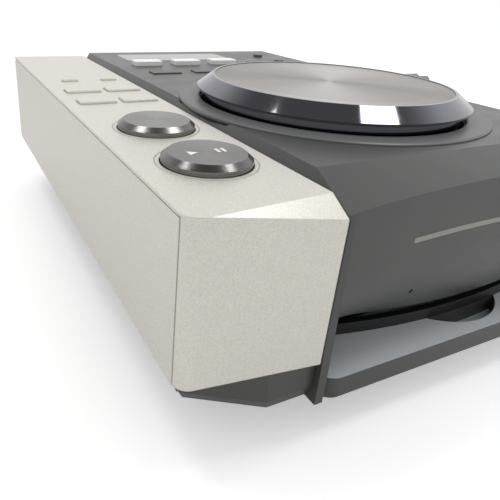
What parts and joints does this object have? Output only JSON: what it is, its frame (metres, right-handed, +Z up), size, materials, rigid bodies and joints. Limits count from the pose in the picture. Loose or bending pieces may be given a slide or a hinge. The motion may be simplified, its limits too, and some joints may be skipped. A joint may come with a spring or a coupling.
{
  "type": "tabletop dj cd player",
  "caption": "Tabletop disc player for DJs with a front slot, a central jog wheel, a silver side section with play and cue buttons, keys, a tempo fader and rear sockets.",
  "frame": {"origin": "under the middle of the outline, on the surface the player stands on", "axes": "+Z up, -Y towards the user, +X to the user's right"},
  "size_m": [0.2178, 0.2968, 0.1075],
  "materials": {
    "silver_paint": "satin metallic paint with fine flake",
    "dark_plastic": "fine satin moulded grey",
    "black_plastic": "matte moulded black",
    "pale_inlay": "smooth pale grey",
    "window": "smoked clear window",
    "ring_plastic": "satin grey",
    "jog_chrome": "polished bevel",
    "jog_metal": "spun satin",
    "button_metal": "spun, polished",
    "steel": "ground",
    "sheet_steel": "zinc plated sheet",
    "board": "green circuit board",
    "rubber": "matte",
    "gear_plastic": "white acetal",
    "knob_plastic": "satin grey",
    "bright_key": "bright translucent key",
    "grey_key": "satin grey"
  },
  "bodies": {
    "housing": {"base_pan": "dark_plastic", "deck_board": "board", "disc_guide": "sheet_steel", "display_window": "window", "foot_1": "rubber", "foot_2": "rubber", "foot_3": "rubber", "foot_4": "rubber", "jack_block": "black_plastic", "jog_bearing": "black_plastic", "jog_board": "board", "jog_ring": "ring_plastic", "light_strip": "pale_inlay", "loading_motor": "sheet_steel", "main_board": "board", "mains_inlet": "black_plastic", "mech_chassis": "sheet_steel", "power_board": "board", "rear_panel": "black_plastic", "side_plate": "silver_paint", "silver_panel": "silver_paint", "sled_motor": "sheet_steel", "slot_sill": "black_plastic", "spindle_motor": "sheet_steel", "strip_board": "board", "switch_frame": "black_plastic", "tempo_fader": "black_plastic", "top_case": "dark_plastic"},
    "play_button_body": {"play_button": "button_metal"},
    "cue_button_body": {"cue_button": "button_metal"},
    "search_back_key_body": {"search_back_key": "silver_paint"},
    "search_next_key_body": {"search_next_key": "silver_paint"},
    "track_back_key_body": {"track_back_key": "silver_paint"},
    "track_next_key_body": {"track_next_key": "silver_paint"},
    "folder_key_body": {"folder_key": "silver_paint"},
    "time_key_body": {"time_key": "silver_paint"},
    "loop_in_key_body": {"loop_in_key": "bright_key"},
    "loop_out_key_body": {"loop_out_key": "bright_key"},
    "loop_exit_key_body": {"loop_exit_key": "bright_key"},
    "effect_key_1_body": {"effect_key_1": "grey_key"},
    "effect_key_2_body": {"effect_key_2": "grey_key"},
    "effect_key_3_body": {"effect_key_3": "grey_key"},
    "eject_key_body": {"eject_key": "grey_key"},
    "range_button_body": {"range_button": "grey_key"},
    "master_button_body": {"master_button": "grey_key"},
    "jog": {"jog_wheel": "jog_chrome", "jog_plate": "jog_metal", "jog_shaft": "steel"},
    "fader": {"tempo_knob": "knob_plastic"},
    "roller": {"feed_roller": "rubber", "roller_shaft": "steel", "roller_gear": "gear_plastic"},
    "idler": {"idler_gear": "gear_plastic"},
    "pinion": {"motor_pinion": "gear_plastic"},
    "disc_seat": {"turntable": "black_plastic"},
    "clamp": {"clamp_arm": "black_plastic"},
    "puck": {"clamper": "black_plastic"},
    "sled": {"optical_sled": "black_plastic"},
    "screw": {"lead_screw": "steel"},
    "rocker": {"power_rocker": "black_plastic"}
  },
  "joints": [
    {"name": "play_button_press", "type": "slide", "parent": "housing", "child": "play_button_body", "axis": [0, 0, -1], "range_m": [0, 0.001], "stiffness_N_per_m": 600, "springref_m": -0.001},
    {"name": "cue_button_press", "type": "slide", "parent": "housing", "child": "cue_button_body", "axis": [0, 0, -1], "range_m": [0, 0.001], "stiffness_N_per_m": 600, "springref_m": -0.001},
    {"name": "search_back_key_press", "type": "slide", "parent": "housing", "child": "search_back_key_body", "axis": [0, 0, -1], "range_m": [0, 0.001], "stiffness_N_per_m": 300, "springref_m": -0.001},
    {"name": "search_next_key_press", "type": "slide", "parent": "housing", "child": "search_next_key_body", "axis": [0, 0, -1], "range_m": [0, 0.001], "stiffness_N_per_m": 300, "springref_m": -0.001},
    {"name": "track_back_key_press", "type": "slide", "parent": "housing", "child": "track_back_key_body", "axis": [0, 0, -1], "range_m": [0, 0.001], "stiffness_N_per_m": 300, "springref_m": -0.001},
    {"name": "track_next_key_press", "type": "slide", "parent": "housing", "child": "track_next_key_body", "axis": [0, 0, -1], "range_m": [0, 0.001], "stiffness_N_per_m": 300, "springref_m": -0.001},
    {"name": "folder_key_press", "type": "slide", "parent": "housing", "child": "folder_key_body", "axis": [0, 0, -1], "range_m": [0, 0.001], "stiffness_N_per_m": 300, "springref_m": -0.001},
    {"name": "time_key_press", "type": "slide", "parent": "housing", "child": "time_key_body", "axis": [0, 0, -1], "range_m": [0, 0.001], "stiffness_N_per_m": 300, "springref_m": -0.001},
    {"name": "loop_in_key_press", "type": "slide", "parent": "housing", "child": "loop_in_key_body", "axis": [0, 0, -1], "range_m": [0, 0.001], "stiffness_N_per_m": 300, "springref_m": -0.001},
    {"name": "loop_out_key_press", "type": "slide", "parent": "housing", "child": "loop_out_key_body", "axis": [0, 0, -1], "range_m": [0, 0.001], "stiffness_N_per_m": 300, "springref_m": -0.001},
    {"name": "loop_exit_key_press", "type": "slide", "parent": "housing", "child": "loop_exit_key_body", "axis": [0, 0, -1], "range_m": [0, 0.001], "stiffness_N_per_m": 300, "springref_m": -0.001},
    {"name": "effect_key_1_press", "type": "slide", "parent": "housing", "child": "effect_key_1_body", "axis": [0, 0, -1], "range_m": [0, 0.001], "stiffness_N_per_m": 300, "springref_m": -0.001},
    {"name": "effect_key_2_press", "type": "slide", "parent": "housing", "child": "effect_key_2_body", "axis": [0, 0, -1], "range_m": [0, 0.001], "stiffness_N_per_m": 300, "springref_m": -0.001},
    {"name": "effect_key_3_press", "type": "slide", "parent": "housing", "child": "effect_key_3_body", "axis": [0, 0, -1], "range_m": [0, 0.001], "stiffness_N_per_m": 300, "springref_m": -0.001},
    {"name": "eject_key_press", "type": "slide", "parent": "housing", "child": "eject_key_body", "axis": [0, 0, -1], "range_m": [0, 0.001], "stiffness_N_per_m": 300, "springref_m": -0.001},
    {"name": "range_button_press", "type": "slide", "parent": "housing", "child": "range_button_body", "axis": [0, 0, -1], "range_m": [0, 0.001], "stiffness_N_per_m": 300, "springref_m": -0.001},
    {"name": "master_button_press", "type": "slide", "parent": "housing", "child": "master_button_body", "axis": [0, 0, -1], "range_m": [0, 0.001], "stiffness_N_per_m": 300, "springref_m": -0.001},
    {"name": "jog_spin", "type": "hinge", "parent": "housing", "child": "jog", "pos_m": [0.01862, -0.04304, 0.0958], "axis": [0, 0, 1], "continuous": true},
    {"name": "tempo_slide", "type": "slide", "parent": "housing", "child": "fader", "axis": [0, 1, 0], "range_m": [-0.03, 0.03]},
    {"name": "power_rock", "type": "hinge", "parent": "housing", "child": "rocker", "pos_m": [-0.0715, 0.1384, 0.06], "axis": [1, 0, 0], "range_deg": [0, 16]},
    {"name": "roller_spin", "type": "hinge", "parent": "housing", "child": "roller", "pos_m": [0.02562, -0.112, 0.0266], "axis": [1, 0, 0], "continuous": true},
    {"name": "idler_spin", "type": "hinge", "parent": "housing", "child": "idler", "pos_m": [-0.04938, -0.10049, 0.03001], "axis": [1, 0, 0], "continuous": true},
    {"name": "pinion_spin", "type": "hinge", "parent": "housing", "child": "pinion", "pos_m": [-0.04938, -0.08883, 0.02721], "axis": [1, 0, 0], "continuous": true},
    {"name": "disc_spin", "type": "hinge", "parent": "housing", "child": "disc_seat", "pos_m": [0.02562, -0.0464, 0.028], "axis": [0, 0, 1], "continuous": true},
    {"name": "clamp_lower", "type": "hinge", "parent": "housing", "child": "clamp", "pos_m": [0.02562, 0.053, 0.042], "axis": [1, 0, 0], "range_deg": [0, 3.4], "stiffness_Nm_per_rad": 0.5, "springref_deg": -1.72},
    {"name": "puck_spin", "type": "hinge", "parent": "clamp", "child": "puck", "pos_m": [0.02562, -0.0464, 0.04], "axis": [0, 0, 1], "continuous": true},
    {"name": "sled_slide", "type": "slide", "parent": "housing", "child": "sled", "axis": [0, 1, 0], "range_m": [0, 0.034]},
    {"name": "screw_spin", "type": "hinge", "parent": "housing", "child": "screw", "pos_m": [0.04963, -0.0064, 0.0235], "axis": [0, 1, 0], "range_deg": [-2, 4083]}
  ],
  "couplings": [
    {"joint": "idler_spin", "follows": "roller_spin", "ratio": -0.66667},
    {"joint": "pinion_spin", "follows": "roller_spin", "ratio": 1},
    {"joint": "screw_spin", "follows": "sled_slide", "rad_per_m": 2094.4}
  ]
}
